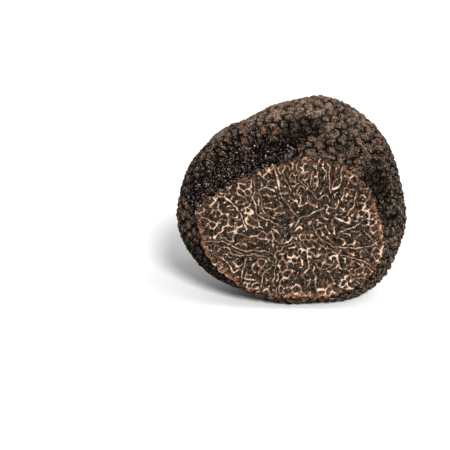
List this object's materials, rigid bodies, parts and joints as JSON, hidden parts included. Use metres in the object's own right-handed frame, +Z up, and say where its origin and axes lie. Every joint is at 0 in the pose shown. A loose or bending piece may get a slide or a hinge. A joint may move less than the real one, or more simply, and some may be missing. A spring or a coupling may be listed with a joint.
{
  "type": "black truffle",
  "caption": "Warty black truffle with one side sliced flat to show its marbled flesh, resting on a small flat spot.",
  "frame": {"origin": "middle of the bounding box, on the surface that the truffle stands on", "axes": "+X along the truffle's length, -Y out of the sliced face, +Z up"},
  "size_m": [0.0624, 0.042, 0.0538],
  "materials": {
    "rind": "matt black-brown warty rind; the cut flesh is dark grey-brown with cream veins"
  },
  "bodies": {
    "root": {"truffle": "rind"}
  },
  "joints": []
}
